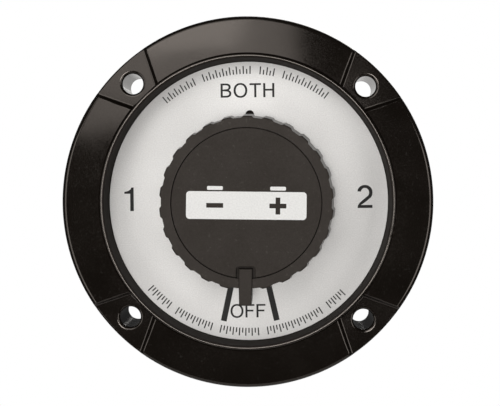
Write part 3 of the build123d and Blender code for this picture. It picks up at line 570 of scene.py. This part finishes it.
CASE_HALF_WIDTH = 20.6
CASE_LOW, CASE_HIGH = -5.6, 3.9
CASE_CORNER = 1.2
POST_HALF_WIDTH = 2.7
POST_TOP = 5.7
POST_CORNER = 0.4
POST_GAP = 0.5
SIGN_MIDDLE = 10.8
SIGN_HALF = 2.9
SIGN_STROKE = 0.8
SIGN_UP = -0.9

cap_front = -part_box("knob_cap")[0].y


def minus_sign():
    return [rectangle(-SIGN_HALF, -SIGN_STROKE, SIGN_HALF, SIGN_STROKE)]


def plus_sign():
    h, s = SIGN_HALF, SIGN_STROKE
    return [[(-s, -h), (s, -h), (s, -s), (h, -s), (h, s), (s, s), (s, h), (-s, h), (-s, s), (-h, s),
             (-h, -s), (-s, -s)]]


pictogram = [rounded(-CASE_HALF_WIDTH, CASE_LOW, CASE_HALF_WIDTH, CASE_HIGH, CASE_CORNER)]
for middle in (-SIGN_MIDDLE, SIGN_MIDDLE):
    post_left, post_right = middle - POST_HALF_WIDTH, middle + POST_HALF_WIDTH
    pictogram.append(rounded(post_left, CASE_HIGH + POST_GAP, post_right, POST_TOP, POST_CORNER))
pictogram += moved(minus_sign(), -SIGN_MIDDLE, SIGN_UP)
pictogram += moved(plus_sign(), SIGN_MIDDLE, SIGN_UP)
printed("cap_pictogram", pictogram, cap_front, WHITE_INK, "selector")

# ---- threaded studs in place of the plain CAD ones

STUD_MAJOR = 4.76 * MM
STUD_HEAD = 2.0 * MM
HEAD_BEVEL = 0.3 * MM
THREAD_PITCH = 1.5875 * MM
THREAD_DEPTH = 0.86 * MM
TIP_TAPER = 1.0 * MM

# A thread's profile over one pitch is a peak of this height with this slope, cut off at 0 and 1.
PEAK_HEIGHT = 1.25
PEAK_SLOPE = 2.6

ROWS_PER_PITCH = 10
COLUMNS = 56


def threaded_stud(name):
    """A stud with a helical thread over its whole length and a flat round head at its front end."""
    low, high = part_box(name)
    head_front, tip = low.y, high.y
    across, up = (low.x + high.x) / 2, (low.z + high.z) / 2
    head_radius = (high.x - low.x) / 2
    head_back = head_front + STUD_HEAD
    rows = int(ceil((tip - head_back) / THREAD_PITCH * ROWS_PER_PITCH))
    mesh = bmesh.new()

    def ring(y, radius_at):
        """A ring of corners around the stud, with a radius for each angle."""
        return [
            mesh.verts.new((across + radius_at(a) * cos(a), y, up + radius_at(a) * sin(a)))
            for a in (2 * pi * i / COLUMNS for i in range(COLUMNS))
        ]

    def join(first, second):
        """The faces between two rings."""
        for i in range(COLUMNS):
            j = (i + 1) % COLUMNS
            mesh.faces.new((first[i], first[j], second[j], second[i]))

    def thread_at(y):
        """The thread's radius for each angle, at one place along the stud."""
        fade = min(1.0, (tip - y) / TIP_TAPER)
        crest = STUD_MAJOR - (1 - fade) * THREAD_DEPTH

        def radius(angle):
            phase = ((y - head_back) / THREAD_PITCH - angle / (2 * pi)) % 1
            flank = min(1.0, max(0.0, PEAK_HEIGHT - PEAK_SLOPE * abs(phase - 0.5)))
            return min(crest, STUD_MAJOR - THREAD_DEPTH * (1 - flank))

        return radius

    rings = [
        ring(head_front, lambda a: head_radius - HEAD_BEVEL),
        ring(head_front + HEAD_BEVEL, lambda a: head_radius),
        ring(head_back - HEAD_BEVEL, lambda a: head_radius),
        ring(head_back, lambda a: head_radius - HEAD_BEVEL),
    ]
    for row in range(rows + 1):
        y = head_back + (tip - head_back) * row / rows
        rings.append(ring(y, thread_at(y)))
    for first, second in zip(rings, rings[1:]):
        join(first, second)
    mesh.faces.new(list(reversed(rings[0])))
    mesh.faces.new(rings[-1])
    bmesh.ops.recalc_face_normals(mesh, faces=mesh.faces)
    data = bpy.data.meshes.new(name + "_threaded")
    mesh.to_mesh(data)
    mesh.free()
    for face in data.polygons:
        face.use_smooth = len(face.vertices) == 4
    data.materials.append(BRASS)
    piece = bpy.data.objects.new(name + "_threaded", data)
    bpy.context.scene.collection.objects.link(piece)
    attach(piece, "switch_body")
    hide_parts(name)


for stud_name in ("stud_1", "stud_2", "stud_common"):
    threaded_stud(stud_name)

# ---- contact springs, as a copy that the selector carries

def shortening_springs(name):
    """A copy of a piece's springs, with a mesh of its own, attached to the selector in place of the CAD node.
    """
    piece = bpy.data.objects.new(name + "_soft", nodes[name].data.copy())
    bpy.context.scene.collection.objects.link(piece)
    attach(piece, "selector")
    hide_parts(name)
    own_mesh(piece)


shortening_springs("contact_springs")


# ---- studio: soft lights, white surround and a pale floor

WORLD_LIGHT = 0.05
LAMP_COLOUR = (1.0, 0.985, 0.965)


def studio_world():
    """White where the camera looks past the object, and dim for light and reflections."""
    world = bpy.data.worlds.new("studio")
    bpy.context.scene.world = world
    world.use_nodes = True
    tree = world.node_tree
    tree.nodes.clear()
    seen = add_node(tree, "LightPath").outputs["Is Camera Ray"]
    dim = add_node(tree, "Background", Color=colour(1, 1, 1), Strength=WORLD_LIGHT)
    white = add_node(tree, "Background", Color=colour(1, 1, 1), Strength=1.0)
    mix = tree.nodes.new("ShaderNodeMixShader")
    tree.links.new(seen, mix.inputs[0])
    tree.links.new(dim.outputs[0], mix.inputs[1])
    tree.links.new(white.outputs[0], mix.inputs[2])
    output = tree.nodes.new("ShaderNodeOutputWorld")
    tree.links.new(mix.outputs[0], output.inputs["Surface"])


def softbox(name, around, off_axis, distance, width, height, radiance):
    """A soft area light that faces the switch. `around` is its angle about the knob's axis, from +X towards
    +Z, and `off_axis` its angle from the knob's axis, both in degrees."""
    data = bpy.data.lights.new(name, "AREA")
    data.shape = "RECTANGLE"
    data.size, data.size_y = width, height
    data.energy = radiance * pi * width * height
    data.color = LAMP_COLOUR
    light = bpy.data.objects.new(name, data)
    bpy.context.scene.collection.objects.link(light)
    x, z = polar(sin(radians(off_axis)), around)
    light.location = Vector((x, -cos(radians(off_axis)), z)) * distance
    light.rotation_euler = (-light.location).to_track_quat("-Z", "Y").to_euler()


studio_world()
softbox("key", around=120, off_axis=36, distance=1.1, width=0.66, height=0.62, radiance=2.1)
softbox("fill_right", around=351, off_axis=42, distance=1.1, width=0.50, height=0.75, radiance=3.0)
softbox("fill_left", around=190, off_axis=42, distance=1.1, width=0.50, height=0.80, radiance=2.5)
softbox("front_box", around=120, off_axis=20, distance=0.9, width=0.42, height=0.36, radiance=2.1)
softbox("camera_box", around=225, off_axis=1.6, distance=0.9, width=0.20, height=0.20, radiance=16.0)
softbox("rear_box", around=60, off_axis=140, distance=1.2, width=0.9, height=0.9, radiance=3.0)

# a glowing panel close behind the upper half, which the walls of the upper screw holes reflect
softbox("rear_glow", around=90, off_axis=163, distance=0.157, width=0.20, height=0.082, radiance=0.72)

FLOOR_DROP = 0.6
FLOOR_RADIUS = 0.6
FLOOR_SEGMENTS = 96


def pale_floor():
    """A round sheet of pale board, well below the switch."""
    mesh = bmesh.new()
    bmesh.ops.create_circle(mesh, cap_ends=True, segments=FLOOR_SEGMENTS, radius=FLOOR_RADIUS)
    data = bpy.data.meshes.new("floor")
    mesh.to_mesh(data)
    mesh.free()
    material, tree, shader, place = start_material("pale_board")
    mottle = noise(tree, place, 60 * MM, 4.0)
    tone = mixed(tree, spread(tree, mottle, 0.0, 1.0), colour(0.83, 0.83, 0.83), colour(0.87, 0.87, 0.87))
    tree.links.new(tone, shader.inputs["Base Color"])
    shader.inputs["Roughness"].default_value = 0.8
    data.materials.append(material)
    board = bpy.data.objects.new("floor", data)
    board.location = (0, 0, -FLOOR_DROP)
    bpy.context.scene.collection.objects.link(board)


pale_floor()
